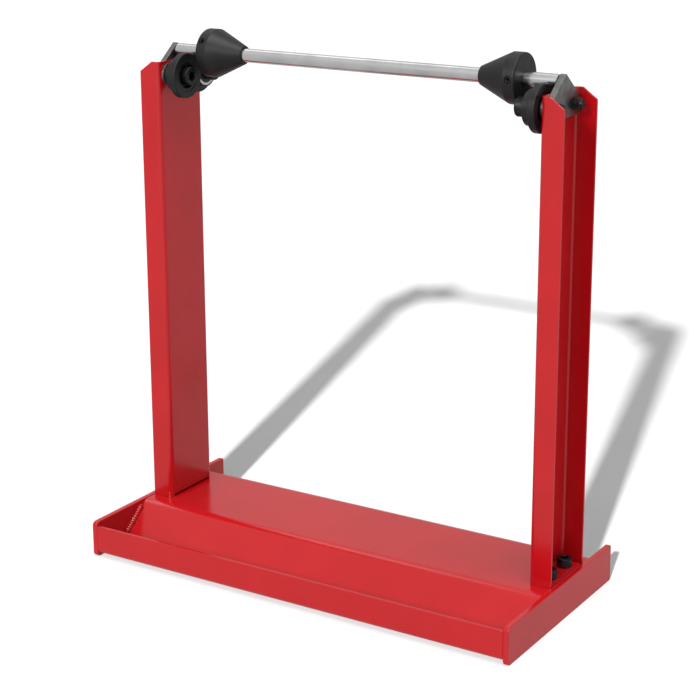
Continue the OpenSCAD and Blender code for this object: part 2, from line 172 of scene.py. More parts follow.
class FinishColours(bpy.types.PropertyGroup):
    red: paint("Red", "Body of the red powder coat", "#AC0D14")
    red_deep: paint("Deep red", "Red powder coat where the film is thicker", "#A60B12")
    zinc: paint("Zinc", "Bright parts of the zinc plating", "#80807E")
    zinc_dull: paint("Dull zinc", "Dull parts of the zinc plating", "#6C6C6C")
    steel: paint("Ground steel", "The ground shaft", "#D6D6D5")
    bearing: paint("Bearing steel", "The bearing rings and balls", "#C2C3C4")
    brass: paint("Brass", "The bearing cages", "#C99A4A")
    brass_dull: paint("Dull brass", "The bearing cages where they have tarnished", "#B5873C")
    rubber: paint("Rubber", "The bearing seals", "#232325")
    rubber_grey: paint("Grey rubber", "The bearing seals where bloom greys them", "#2C2C2E")
    nylon: paint("Black nylon", "Rollers and cones", "#0C0C0D")
    nylon_dusty: paint("Dusty nylon", "Rollers and cones where dust greys them", "#131314")
    oxide: paint("Black oxide", "Body of the blackened screws", "#2A2A2D")
    oxide_worn: paint("Worn oxide", "Blackened screws where a key has rubbed them", "#4A4A4D")
    floor: paint("Floor", "The studio floor", "#949494")
    floor_pale: paint("Pale floor", "The studio floor's palest fibres", "#969696")
    # Painted reflection: the darker grey that glossy surfaces mirror in place of the lit floor.
    floor_painted_reflection: paint("Mirrored floor", "The floor as glossy surfaces mirror it", "#6E6E6E")


class StudioSettings(bpy.types.PropertyGroup):
    camera_place: FloatVectorProperty(
        name="Camera", description="Where the camera stands", subtype="TRANSLATION", unit="LENGTH",
        default=(0.7925, -1.2626, 0.6573),
    )
    camera_turn: FloatVectorProperty(
        name="Camera turn", description="How the camera is turned", subtype="EULER", unit="ROTATION",
        default=(math.radians(74.36), math.radians(0.2), math.radians(31.94)),
    )
    lens: FloatProperty(
        name="Lens", description="Focal length on a 36 mm sensor", default=93.15, unit="CAMERA"
    )
    shift: FloatProperty(name="Shift", description="Vertical lens shift", default=-0.06)
    floor_size: length("Floor size", "Side of the floor", 60000)
    key_turn: angle("Key direction", "Azimuth that the key light shines toward, from +X", 84)
    key_rise: angle("Key height", "Height of the key light above the horizontal", 27)
    key_strength: FloatProperty(name="Key", description="Strength of the key light in W/m2", default=1.7)
    key_size: angle("Key size", "How wide the key light appears", 12)
    floor_key_turn: angle("Floor key", "Azimuth that the light for the floor alone shines toward", 106)
    floor_key_rise: angle("Floor key height", "Height of the light for the floor alone", 27)
    floor_key_strength: FloatProperty(
        name="Floor key strength", description="Strength of the light for the floor alone in W/m2",
        default=16.0,
    )
    floor_key_size: angle("Floor key size", "How wide the light for the floor alone appears", 2)
    top_strength: FloatProperty(
        name="Top", description="Strength of the overhead light in W/m2", default=1.9
    )
    top_size: angle("Top size", "How wide the overhead light appears", 40)
    top_source: FloatVectorProperty(
        name="Top source", description="Direction from the stand to the overhead light",
        subtype="DIRECTION", default=(0.2, -0.2, 1.0),
    )
    rim_strength: FloatProperty(name="Rim", description="Strength of the rim light in W/m2", default=0.08)
    rim_size: angle("Rim size", "How wide the rim light appears", 16)
    rim_source: FloatVectorProperty(
        name="Rim source", description="Direction from the stand to the rim light",
        subtype="DIRECTION", default=(-0.53, 0.3, 0.79),
    )
    walls: FloatProperty(name="Walls", description="Brightness of the room's pale walls", default=0.6)
    ceiling: FloatProperty(name="Ceiling", description="Brightness of the room's ceiling", default=0.75)
    wall_top: angle("Wall top", "Height above the horizontal at which the walls end", 32)


# Materials


def srgb(code):
    """Turns an sRGB hex value to a linear colour."""
    parts = [int(code[i : i + 2], 16) / 255 for i in (1, 3, 5)]
    return tuple(c / 12.92 if c <= 0.04045 else ((c + 0.055) / 1.055) ** 2.4 for c in parts) + (1.0,)


def add_node(tree, kind, links=None, values=None, **settings):
    """Adds a node, sets its settings and its sockets' values, and links sockets to other nodes'."""
    node = tree.nodes.new(kind)
    for key, value in settings.items():
        setattr(node, key, value)
    for key, value in (values or {}).items():
        node.inputs[key].default_value = value
    for key, (other, socket) in (links or {}).items():
        tree.links.new(other.outputs[socket], node.inputs[key])
    return node


def start_material(name):
    """A material emptied of its nodes, its node tree and its Object coordinates."""
    material = bpy.data.materials.get(name)
    if material is None:
        material = bpy.data.materials.new(name)
    material.use_nodes = True
    tree = material.node_tree
    tree.nodes.clear()
    return material, tree, (add_node(tree, "ShaderNodeTexCoord"), "Object")


def per_mm(size):
    """The texture scale at which a pattern repeats about once in so many millimetres."""
    return 1 / (size * MM)


def grains(tree, where, size, detail):
    """Noise with grains of about size millimetres."""
    values = {"Scale": per_mm(size), "Detail": detail}
    return (add_node(tree, "ShaderNodeTexNoise", {"Vector": where}, values), "Fac")


def mottle(tree, where, size, low=0.35, high=0.65):
    """Soft noise with patches of about size millimetres, spread to the range 0 to 1."""
    span = add_node(
        tree, "ShaderNodeMapRange", {"Value": grains(tree, where, size, 3.0)},
        {"From Min": low, "From Max": high, "To Min": 0.0, "To Max": 1.0},
    )
    return (span, "Result")


def streaks(tree, where, scale):
    """Noise drawn out by a scale of its own along each axis."""
    drawn = add_node(tree, "ShaderNodeMapping", {"Vector": where}, {"Scale": scale})
    values = {"Scale": 1.0, "Detail": 2.0}
    return (add_node(tree, "ShaderNodeTexNoise", {"Vector": (drawn, "Vector")}, values), "Fac")


def turned_lines(tree, where, pitch):
    """Fine rings round the X axis, as a turning tool or a grinding wheel leaves them."""
    return streaks(tree, where, (per_mm(pitch), 0.0, 0.0))


def end_material(tree, links, values):
    """Adds the shader and the output."""
    shader = add_node(tree, "ShaderNodeBsdfPrincipled", links, values)
    add_node(tree, "ShaderNodeOutputMaterial", {"Surface": (shader, "BSDF")})


def finish_material(tree, tone, shades, wear, gloss, heights, **constants):
    """Ends a material. The tone goes from 0 to 1 between two sRGB shades and the wear
    between two roughnesses. Each height is a pattern and its depth in micrometres."""
    first, second = (srgb(shade) for shade in shades)
    colour = add_node(
        tree, "ShaderNodeMix", {"Factor": tone}, {"A": first, "B": second}, data_type="RGBA"
    )
    low, high = gloss
    rough = add_node(tree, "ShaderNodeMapRange", {"Value": wear}, {"To Min": low, "To Max": high})
    normal = {}
    for height, depth in heights:
        bump = add_node(
            tree, "ShaderNodeBump", {"Height": height, **normal},
            {"Strength": 1.0, "Distance": depth * 1e-6},
        )
        normal = {"Normal": (bump, "Normal")}
    links = {"Base Color": (colour, "Result"), "Roughness": (rough, "Result"), **normal}
    end_material(tree, links, constants)


def red_powder_coat(colours):
    """Gloss polyester powder coat, sprayed dry and baked: a wet-looking deep red skin
    with the faint ripple of orange peel, a little deeper in colour where it is thick."""
    material, tree, where = start_material("gloss_red_powder_coat")
    film, handled = mottle(tree, where, 45), mottle(tree, where, 18)
    peel, grain = grains(tree, where, 2.4, 1.0), grains(tree, where, 0.5, 2.0)
    finish_material(
        tree, film, (colours.red, colours.red_deep), handled, (0.17, 0.21),
        [(peel, 26), (grain, 3)], IOR=1.5,
    )
    return material


def zinc_plate(colours):
    """Bright zinc plating on rolled steel, dulled by its passivation: satin silver-grey,
    cloudy in patches a few millimetres across, with the rolling grain just showing."""
    material, tree, where = start_material("zinc_plated_steel")
    cloud = mottle(tree, where, 7)
    rolled = streaks(tree, where, (per_mm(0.35), per_mm(12), per_mm(0.35)))
    finish_material(
        tree, cloud, (colours.zinc_dull, colours.zinc), cloud, (0.42, 0.3), [(rolled, 4)], Metallic=1.0
    )
    return material


def ground_steel(colours):
    """Centreless-ground silver steel: bright satin whose fine rings spread the light
    along the shaft. The real rings are too fine to show and are drawn 0.4 mm apart."""
    material, tree, where = start_material("centreless_ground_steel")
    smear = mottle(tree, where, 25)
    finish_material(
        tree, smear, (colours.steel, colours.bearing), smear, (0.2, 0.27),
        [(turned_lines(tree, where, 0.4), 5)], Metallic=1.0,
    )
    return material


def bearing_steel(colours):
    """Hardened chrome steel, ground and superfinished: a clean, almost mirror grey."""
    material, tree, where = start_material("superfinished_bearing_steel")
    film = mottle(tree, where, 4)
    finish_material(tree, film, (colours.bearing, colours.steel), film, (0.12, 0.2), [], Metallic=1.0)
    return material


def cage_brass(colours):
    """Machined brass: warm yellow metal with a soft sheen from its tool marks."""
    material, tree, where = start_material("machined_brass")
    tone = mottle(tree, where, 3)
    finish_material(
        tree, tone, (colours.brass, colours.brass_dull), tone, (0.25, 0.35),
        [(turned_lines(tree, where, 0.3), 4)], Metallic=1.0,
    )
    return material


def seal_rubber(colours):
    """Moulded nitrile rubber on the bearings' shields: matt near-black."""
    material, tree, where = start_material("moulded_nitrile_rubber")
    grain = mottle(tree, where, 0.6)
    finish_material(
        tree, grain, (colours.rubber, colours.rubber_grey), grain, (0.55, 0.7), [(grain, 6)], IOR=1.5
    )
    return material


def black_nylon(colours):
    """Black cast nylon, turned on a lathe: satin black with fine tool rings and a
    breath of grey dust, which softens the light along edges."""
    material, tree, where = start_material("turned_black_nylon")
    dust = mottle(tree, where, 9)
    finish_material(
        tree, dust, (colours.nylon, colours.nylon_dusty), dust, (0.4, 0.5),
        [(turned_lines(tree, where, 0.35), 7)], IOR=1.4,
    )
    return material


def black_oxide(colours):
    """Hot-blacked alloy steel, lightly oiled: blue-black metal, greyer where keys rub."""
    material, tree, where = start_material("black_oxide_steel")
    rub = mottle(tree, where, 2.5, low=0.5, high=0.75)
    finish_material(
        tree, rub, (colours.oxide, colours.oxide_worn), rub, (0.42, 0.3),
        [(grains(tree, where, 0.4, 2.0), 4)], Metallic=0.85,
    )
    return material


def studio_floor(colours):
    """Matt pale seamless paper, lit to white and so faintly mottled that only shadows
    show. Glossy rays see it in a darker grey, a painted reflection that the paper does not have."""
    material, tree, where = start_material("seamless_paper")
    pulp = mottle(tree, where, 90)
    shades = {"A": srgb(colours.floor), "B": srgb(colours.floor_pale)}
    paper = add_node(tree, "ShaderNodeMix", {"Factor": pulp}, shades, data_type="RGBA")
    # Painted reflection: glossy rays see the floor in a darker grey than it is lit.
    ray = add_node(tree, "ShaderNodeLightPath")
    floor_or_painted_reflection = add_node(
        tree, "ShaderNodeMix", {"Factor": (ray, "Is Glossy Ray"), "A": (paper, "Result")},
        {"B": srgb(colours.floor_painted_reflection)}, data_type="RGBA",
    )
    rough = add_node(tree, "ShaderNodeMapRange", {"Value": pulp}, {"To Min": 0.85, "To Max": 0.95})
    end_material(
        tree, {"Base Color": (floor_or_painted_reflection, "Result"), "Roughness": (rough, "Result")}, {"Specular IOR Level": 0.1}
    )
    return material


FINISHES = {
    "red_powder_coat": red_powder_coat,
    "zinc_plated_steel": zinc_plate,
    "bright_shaft_steel": ground_steel,
    "bearing_steel": bearing_steel,
    "cage_brass": cage_brass,
    "seal_rubber": seal_rubber,
    "black_nylon": black_nylon,
    "black_oxide_steel": black_oxide,
}
made_finishes = {}


def finish_for(slot):
    """The material of one of the record's slots, made the first time it is asked for."""
    if slot not in made_finishes:
        made_finishes[slot] = FINISHES[slot](bpy.context.scene.stand_colours)
    return made_finishes[slot]


# Shaping


def mesh_of(bm, name="work"):
    """Turns a shape into a mesh and frees it."""
    mesh = bpy.data.meshes.new(name)
    bm.to_mesh(mesh)
    bm.free()
    return mesh


def added(data, name="work"):
    """Adds an object with this data to the scene."""
    obj = bpy.data.objects.new(name, data)
    bpy.context.scene.collection.objects.link(obj)
    return obj


def bolt_bore(bolt, gap):
    """The radius of a hole round a bolt."""
    return bolt / 2 + gap


def in_mm(*values):
    """Lengths in metres turned to millimetres."""
    return [value / MM for value in values]


def turned_node(node):
    """The ends, middle, radius and length of a node turned about X, the last two in
    millimetres."""
    lo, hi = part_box(node)
    return (lo.x, hi.x), (lo + hi) / 2, (hi.z - lo.z) / 2 / MM, (hi.x - lo.x) / MM


def round_corners(bm, corners):
    """Rounds corners of an outline. Each is a vertex and the set-back of its arc."""
    for vertex, offset in corners:
        bmesh.ops.bevel(
            bm, geom=[vertex], offset=offset, offset_type="OFFSET", affect="VERTICES",
            segments=8, profile=0.5, material=-1, clamp_overlap=True,
        )


def set_back(a, corner, b, radius):
    """How far before a corner an arc of this radius begins."""
    bend = (corner - a).angle(b - corner)
    return radius * math.tan(bend / 2)


def outline(bm, points, radii, closed=False):
    """Draws points joined by edges, each corner rounded to its radius, or sharp at 0."""
    verts = [bm.verts.new(p) for p in points]
    count = len(verts)
    for i in range(count if closed else count - 1):
        bm.edges.new((verts[i], verts[(i + 1) % count]))
    corners = []
    for i in range(count):
        if radii[i] and (closed or 0 < i < count - 1):
            a, p, b = (Vector(points[j % count]) for j in (i - 1, i, i + 1))
            corners.append((verts[i], set_back(a, p, b, radii[i])))
    round_corners(bm, corners)


def spun(points, segments=96, closed=True):
    """Turns an outline of (radius, height, rounding) points, in millimetres, round Z."""
    bm = bmesh.new()
    outline(bm, [(r * MM, 0, z * MM) for r, z, _ in points], [c * MM for _, _, c in points], closed)
    bmesh.ops.spin(
        bm, geom=bm.verts[:] + bm.edges[:], cent=(0, 0, 0), axis=(0, 0, 1), angle=math.tau,
        steps=segments, use_merge=True,
    )
    bmesh.ops.remove_doubles(bm, verts=bm.verts, dist=1e-7)
    bmesh.ops.recalc_face_normals(bm, faces=bm.faces)
    return bm


def extruded(bm, edges, step):
    """Pulls edges along a vector and returns the far edges."""
    result = bmesh.ops.extrude_edge_only(bm, edges=edges)["geom"]
    bmesh.ops.translate(bm, verts=[g for g in result if isinstance(g, bmesh.types.BMVert)], vec=step)
    return [g for g in result if isinstance(g, bmesh.types.BMEdge)]


def slab(points, radii, step):
    """A plate: a closed outline filled and pulled along a vector."""
    bm = bmesh.new()
    outline(bm, points, radii, closed=True)
    face = bmesh.ops.contextual_create(bm, geom=bm.edges[:])["faces"]
    result = bmesh.ops.extrude_face_region(bm, geom=face, use_keep_orig=True)["geom"]
    bmesh.ops.translate(bm, verts=[g for g in result if isinstance(g, bmesh.types.BMVert)], vec=step)
    bmesh.ops.recalc_face_normals(bm, faces=bm.faces)
    return bm


def ease_edges(bm, width, steepest=35, segments=3):
    """Rounds every edge where two faces meet at more than a given angle in degrees."""
    edges = [
        e for e in bm.edges
        if len(e.link_faces) == 2 and e.calc_face_angle(0) > math.radians(steepest)
    ]
    bmesh.ops.bevel(
        bm, geom=edges, offset=width, offset_type="OFFSET", affect="EDGES", segments=segments,
        profile=0.5, material=-1, clamp_overlap=True,
    )


def after_modifier(bm, kind, **settings):
    """The mesh that one modifier makes of another."""
    mesh = mesh_of(bm)
    obj = added(mesh)
    modifier = obj.modifiers.new(kind, kind)
    for key, value in settings.items():
        setattr(modifier, key, value)
    result = bmesh.new()
    result.from_object(obj, bpy.context.evaluated_depsgraph_get())
    bpy.data.objects.remove(obj)
    bpy.data.meshes.remove(mesh)
    return result


def thickened(bm, thickness):
    """Gives a middle surface its sheet thickness, half to each side."""
    return after_modifier(bm, "SOLIDIFY", thickness=thickness, offset=0.0, use_even_offset=True)


def drilled(bm, holes):
    """Drills round holes. Each is a centre, a direction, a radius and a length."""
    cutter_bm = bmesh.new()
    for centre, direction, radius, long in holes:
        turn = Vector(direction).to_track_quat("Z", "Y").to_matrix().to_4x4()
        bmesh.ops.create_cone(
            cutter_bm, cap_ends=True, segments=48, radius1=radius, radius2=radius, depth=long,
            matrix=Matrix.Translation(centre) @ turn,
        )
    mesh = mesh_of(cutter_bm)
    cutter = added(mesh)
    result = after_modifier(bm, "BOOLEAN", object=cutter, operation="DIFFERENCE", solver="EXACT")
    bpy.data.objects.remove(cutter)
    bpy.data.meshes.remove(mesh)
    return result


def ring(bm, radius, height, segments, corners=False):
    """A circle of edges at a height, in millimetres, or if corners is set a hexagon
    of as many vertices."""
    sides = 6 if corners else segments
    verts = bmesh.ops.create_circle(
        bm, cap_ends=False, segments=sides, radius=radius * MM,
        matrix=Matrix.Translation((0, 0, height * MM)),
    )["verts"]
    edges = list({e for v in verts for e in v.link_edges})
    if corners:
        cut = bmesh.ops.subdivide_edges(bm, edges=edges, cuts=segments // 6 - 1)["geom_split"]
        edges = list({g for g in cut if isinstance(g, bmesh.types.BMEdge)})
    return edges


def skinned(bm, rings):
    """Joins each ring of edges to the next."""
    for first, second in zip(rings, rings[1:]):
        bmesh.ops.bridge_loops(bm, edges=first + second)


def capped(bm, edges):
    """Closes a ring with a face."""
    bmesh.ops.contextual_create(bm, geom=edges)


def thread_rings(bm, major, start, end, pitch, segments):
    """Rings whose radius swings between a thread's crest and root, up a shank."""
    depth = 0.54 * pitch
    rings = []
    count = int((end - start) / pitch)
    for i in range(count):
        low = start + i * pitch
        rings.append(ring(bm, major - depth, low, segments))
        rings.append(ring(bm, major, low + 0.45 * pitch, segments))
        rings.append(ring(bm, major, low + 0.55 * pitch, segments))
    rings.append(ring(bm, major - depth, start + count * pitch, segments))
    return rings


def knurled(rings, depth):
    """Presses every second vertex of each ring inward."""
    for edges in rings:
        verts = sorted({v for e in edges for v in e.verts}, key=lambda v: math.atan2(v.co.y, v.co.x))
        for v in verts[::2]:
            shrink = 1 - depth * MM / v.co.xy.length
            v.co.x *= shrink
            v.co.y *= shrink


def socket_screw(d, long, pitch, head_r=None, plain=0.0, segments=96):
    """A socket-head cap screw along +Z with its head below z = 0, or with no head a
    grub screw from z = 0 down. Sizes are in millimetres."""
    bm = bmesh.new()
    r = d / 2
    key = (0.8 if head_r else 0.5) * d / math.cos(math.radians(30)) / 2
    tip = 0.1 * d
    rings = []
    if head_r:
        top = -d
        edge = 0.09 * d
        band = [ring(bm, head_r, top + 1.2 * edge, segments), ring(bm, head_r, -0.5 * edge, segments)]
        rings = [
            ring(bm, key, top + 0.55 * d, segments, True),
            ring(bm, key, top + 0.03 * d, segments, True),
            ring(bm, key + 0.03 * d, top, segments, True),
            ring(bm, head_r - edge, top, segments),
            ring(bm, head_r - 0.35 * edge, top + 0.35 * edge, segments),
            ring(bm, head_r - 0.05 * edge, top + edge, segments),
            band[0],
            band[1],
            ring(bm, head_r - 0.3 * edge, 0, segments),
            ring(bm, r, 0, segments),
        ]
        knurled(band, 0.22)
        start = plain
    else:
        start = 0.08 * d
        rings = [
            ring(bm, key, 0.5 * d, segments, True),
            ring(bm, key, 0.02 * d, segments, True),
            ring(bm, key + 0.02 * d, 0, segments, True),
            ring(bm, r - tip, 0, segments),
        ]
    if plain:
        rings.append(ring(bm, r, plain - 0.1, segments))
    rings += thread_rings(bm, r, start, long - tip, pitch, segments)
    rings.append(ring(bm, r - tip, long, segments))
    skinned(bm, rings)
    capped(bm, rings[0])
    capped(bm, rings[-1])
    bmesh.ops.recalc_face_normals(bm, faces=bm.faces)
    return bm


def hex_nut(d, across, high, segments=48):
    """A hexagon nut from z = 0 up, its corners turned off at 30 degrees on both faces."""
    bm = bmesh.new()
    flat = across / 2
    corner, chamfer = flat / math.cos(math.radians(30)), 0.96 * flat
    sides = [ring(bm, corner, 0, segments, True), ring(bm, corner, high, segments, True)]
    for edges, base, way in ((sides[0], 0, 1), (sides[1], high, -1)):
        for v in {v for e in edges for v in e.verts}:
            v.co.z = (base + way * (v.co.xy.length / MM - chamfer) * math.tan(math.radians(30))) * MM
    bore, mouth, deep = 0.92 * d / 2, 1.05 * d / 2, 0.6
    rings = [
        ring(bm, bore, deep, segments), ring(bm, mouth, 0, segments), ring(bm, chamfer, 0, segments),
        *sides,
        ring(bm, chamfer, high, segments), ring(bm, mouth, high, segments),
        ring(bm, bore, high - deep, segments),
    ]
    skinned(bm, rings)
    bmesh.ops.bridge_loops(bm, edges=rings[-1] + rings[0])
    bmesh.ops.recalc_face_normals(bm, faces=bm.faces)
    return bm


def placed(bm, origin, toward=(0, 0, 1)):
    """Moves a shape drawn up Z to an origin, with Z turned toward a direction."""
    turn = Vector(toward).to_track_quat("Z", "Y").to_matrix().to_4x4()
    bmesh.ops.transform(bm, matrix=Matrix.Translation(origin) @ turn, verts=bm.verts)
    return bm


def joined(shapes):
    """Puts several shapes in one."""
    whole = bmesh.new()
    for bm in shapes:
        mesh = mesh_of(bm)
        whole.from_mesh(mesh)
        bpy.data.meshes.remove(mesh)
    return whole


def finish_piece(name, bm, body, slot, nodes, sharp=32):
    """Makes a shape an object that rides on a body and stands for CAD nodes."""
    mesh = mesh_of(bm, name)
    mesh.shade_smooth()
    mesh.set_sharp_from_angle(angle=math.radians(sharp))
    mesh.materials.append(finish_for(slot))
    obj = added(mesh, name)
    even = obj.modifiers.new("Even shading", "WEIGHTED_NORMAL")
    even.keep_sharp = True
    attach(obj, body)
    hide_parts(*nodes)
    return obj


def keep_node(node, slot):
    """Gives a CAD node that stays in view the finish of its slot."""
    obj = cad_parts[node]
    obj.data.materials.clear()
    obj.data.materials.append(finish_for(slot))


# Pieces


class STAND_OT_tray(bpy.types.Operator):
    """Fold the base tray from one sheet: lip, trough, front slope, deck and rear slope"""

    bl_idname = "stand.tray"
    bl_label = "Tray"

    def execute(self, context):
        s = context.scene.stand_base
        lo, hi = TRAY
        half = s.sheet / 2
        low = lo.z + half
        deck = hi.z - half
        foot = -s.deck_front - (deck - low) / math.tan(s.front_slope)
        line = [
            (lo.x, lo.y + half, s.lip_top),
            (lo.x, lo.y + half, low),
            (lo.x, foot, low),
            (lo.x, -s.deck_front, deck),
            (lo.x, s.deck_rear, deck),
            (lo.x, PLATE[1].y - half - s.rear_gap, low),
        ]
        bm = bmesh.new()
        outline(bm, line, [0, s.fold, s.fold, s.deck_fold, s.deck_fold, 0])
        extruded(bm, bm.edges[:], (hi.x - lo.x, 0, 0))
        bmesh.ops.recalc_face_normals(bm, faces=bm.faces)
        bm = thickened(bm, s.sheet)
        fasteners = context.scene.stand_fasteners
        bore = bolt_bore(fasteners.foot_bolt, fasteners.hole_gap)
        bm = drilled(bm, [((x, y, deck), (0, 0, 1), bore, 4 * s.sheet) for x, y in foot_bolt_places()])
        ease_edges(bm, s.edge)
        finish_piece("tray_sheet", bm, "stand", "red_powder_coat", ["base_tray"])
        return {"FINISHED"}


def foot_bolt_places():
    """Where the four foot bolts stand, left pair first."""
    places = []
    for side in SIDES:
        lo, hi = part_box(f"{side}_foot_bolts")
        x = (lo.x + hi.x) / 2
        head = (hi.x - lo.x) / 2
        places += [(x, lo.y + head), (x, hi.y - head)]
    return places


class STAND_OT_end_plates(bpy.types.Operator):
    """Cut the two flat-bar end plates with their rounded corners"""

    bl_idname = "stand.end_plates"
    bl_label = "End plates"

    def execute(self, context):
        s = context.scene.stand_base
        for side in SIDES:
            node = f"{side}_end_plate"
            lo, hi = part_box(node)
            corners = [(lo.x, lo.y, lo.z), (lo.x, hi.y, lo.z), (lo.x, hi.y, hi.z), (lo.x, lo.y, hi.z)]
            radii = [s.plate_corner, s.rear_corner, s.rear_corner, s.plate_corner]
            bm = slab(corners, radii, (hi.x - lo.x, 0, 0))
            ease_edges(bm, s.plate_edge)
            finish_piece(f"{side}_end_bar", bm, "stand", "red_powder_coat", [node])
        return {"FINISHED"}


class STAND_OT_welds(bpy.types.Operator):
    """Lay the rippled fillet welds between the front slope and the end plates"""

    bl_idname = "stand.welds"
    bl_label = "Welds"

    def execute(self, context):
        s = context.scene.stand_base
        up = Vector((0, -math.sin(s.front_slope), math.cos(s.front_slope)))
        along = Vector((0, math.cos(s.front_slope), math.sin(s.front_slope)))
        turn = along.to_track_quat("Z", "Y").to_matrix().to_4x4()
        radius = 0.85 * s.weld_leg
        foot = s.weld_leg * math.sin(s.front_slope)
        steps, blunt = 6, 0.35
        step = along * (s.weld_pitch / steps)
        for side, sign in SIDES.items():
            node = f"{side}_weld"
            lo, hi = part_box(node)
            count = steps * int((hi.y - lo.y - foot) / math.cos(s.front_slope) / s.weld_pitch)
            start = Vector((lo.x if sign < 0 else hi.x, lo.y + foot, lo.z))
            start += (Vector((-sign, 0, 0)) + up) * 0.3 * s.weld_leg
            bm = bmesh.new()
            bmesh.ops.create_circle(
                bm, cap_ends=True, segments=20, radius=blunt * radius,
                matrix=Matrix.Translation(start) @ turn,
            )
            edges = bm.edges[:]
            last = blunt
            for i in range(1, count + 1):
                ripple = 0.7 + 0.3 * math.sqrt(1 - (i % steps / steps) ** 2)
                end = min(1.0, min(i, count - i) / steps)
                swell = ripple * (0.45 + 0.55 * math.sqrt(end))
                edges = extruded(bm, edges, step)
                bmesh.ops.scale(
                    bm, vec=(swell / last,) * 3, space=Matrix.Translation(-(start + step * i)),
                    verts=list({v for e in edges for v in e.verts}),
                )
                last = swell
            capped(bm, edges)
            bmesh.ops.recalc_face_normals(bm, faces=bm.faces)
            finish_piece(f"{side}_weld_bead", bm, "stand", "red_powder_coat", [node], sharp=60)
        return {"FINISHED"}


class STAND_OT_uprights(bpy.types.Operator):
    """Fold the two channel uprights, each with its foot tab and cut top corners"""

    bl_idname = "stand.uprights"
    bl_label = "Uprights"

    def execute(self, context):
        s = context.scene.stand_uprights
        fasteners = context.scene.stand_fasteners
        axle_bore = bolt_bore(fasteners.axle, fasteners.hole_gap)
        foot_bore = bolt_bore(fasteners.foot_bolt, fasteners.hole_gap)
        for side, sign in SIDES.items():
            node = f"{side}_upright"
            lo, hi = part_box(node)
            half = s.sheet / 2
            web = (lo.x if sign > 0 else hi.x) + sign * half
            edge = hi.x if sign > 0 else lo.x
            fold = s.fold - half
            rise = lo.z + half + fold
            y0, y1 = lo.y + half, hi.y - half
            bm = bmesh.new()
            outline(
                bm, [(edge, y0, rise), (web, y0, rise), (web, y1, rise), (edge, y1, rise)],
                [0, fold, fold, 0],
            )
            base = bm.edges[:]
            extruded(bm, base, (0, 0, hi.z - rise))
            bm.edges.ensure_lookup_table()
            tail = [e for e in base if abs(e.verts[0].co.x - e.verts[1].co.x) < 1e-7]
            extruded(bm, [e for e in base if e not in tail], (0, 0, lo.z - rise))
            spin = bmesh.ops.spin(
                bm, geom=tail + list({v for e in tail for v in e.verts}), cent=(web + sign * fold, 0, rise),
                axis=(0, -sign, 0), angle=math.radians(90), steps=8, use_merge=False,
            )["geom_last"]
            tail = [g for g in spin if isinstance(g, bmesh.types.BMEdge)]
            extruded(bm, tail, (edge - sign * s.tab_inset - web - sign * fold, 0, 0))
            bmesh.ops.remove_doubles(bm, verts=bm.verts, dist=1e-7)
            cut = Vector((sign * s.cut_z, 0, s.cut_x)).normalized()
            bmesh.ops.bisect_plane(
                bm, geom=bm.verts[:] + bm.edges[:] + bm.faces[:], dist=1e-7,
                plane_co=(edge, 0, hi.z - s.cut_z), plane_no=cut, clear_outer=True,
            )
            bmesh.ops.recalc_face_normals(bm, faces=bm.faces)
            bm = thickened(bm, s.sheet)
            axles = [axle_place(side, end) for end in ENDS]
            feet = foot_bolt_places()[:2] if sign < 0 else foot_bolt_places()[2:]
            holes = [((web, a.y, a.z), (1, 0, 0), axle_bore, 4 * s.sheet) for a in axles]
            holes += [((x, y, lo.z + half), (0, 0, 1), foot_bore, 3 * s.sheet) for x, y in feet]
            bm = drilled(bm, holes)
            ease_edges(bm, s.edge, segments=2)
            finish_piece(f"{side}_channel", bm, "stand", "red_powder_coat", [node])
        return {"FINISHED"}


def axle_place(side, end):
    """The middle of one roller's axle bolt."""
    lo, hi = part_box(f"{side}_{end}_axle_bolt")
    return (lo + hi) / 2


class STAND_OT_foot_fasteners(bpy.types.Operator):
    """Make the foot bolts above the feet, and their washers and nuts under the deck"""

    bl_idname = "stand.foot_fasteners"
    bl_label = "Foot bolts, washers and nuts"

    def execute(self, context):
        s = context.scene.stand_fasteners
        d, long, pitch, head = in_mm(s.foot_bolt, s.foot_length, s.foot_pitch, s.foot_head)
        places = foot_bolt_places()
        for i, side in enumerate(SIDES):
            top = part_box(f"{side}_foot_bolts")[1].z
            bolts = [
                placed(socket_screw(d, long, pitch, head_r=head / 2), (x, y, top - s.foot_bolt), (0, 0, -1))
                for x, y in places[2 * i : 2 * i + 2]
            ]
            finish_piece(
                f"{side}_foot_screws", joined(bolts), "stand", "black_oxide_steel", [f"{side}_foot_bolts"]
            )
        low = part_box("foot_washers")[0].z
        bore, r, thick = in_mm(s.washer_bore / 2, s.washer / 2, s.washer_sheet)
        section = [(bore, 0, 0.15), (r, 0, 0.3), (r, thick, 0.3), (bore, thick, 0.15)]
        washers = [placed(spun(section), (x, y, low)) for x, y in places]
        finish_piece("foot_discs", joined(washers), "stand", "zinc_plated_steel", ["foot_washers"])
        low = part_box("foot_nuts")[0].z
        across, high = in_mm(s.nut, s.nut_height)
        nuts = [placed(hex_nut(d, across, high), (x, y, low)) for x, y in places]
        finish_piece("foot_hexes", joined(nuts), "stand", "zinc_plated_steel", ["foot_nuts"])
        return {"FINISHED"}


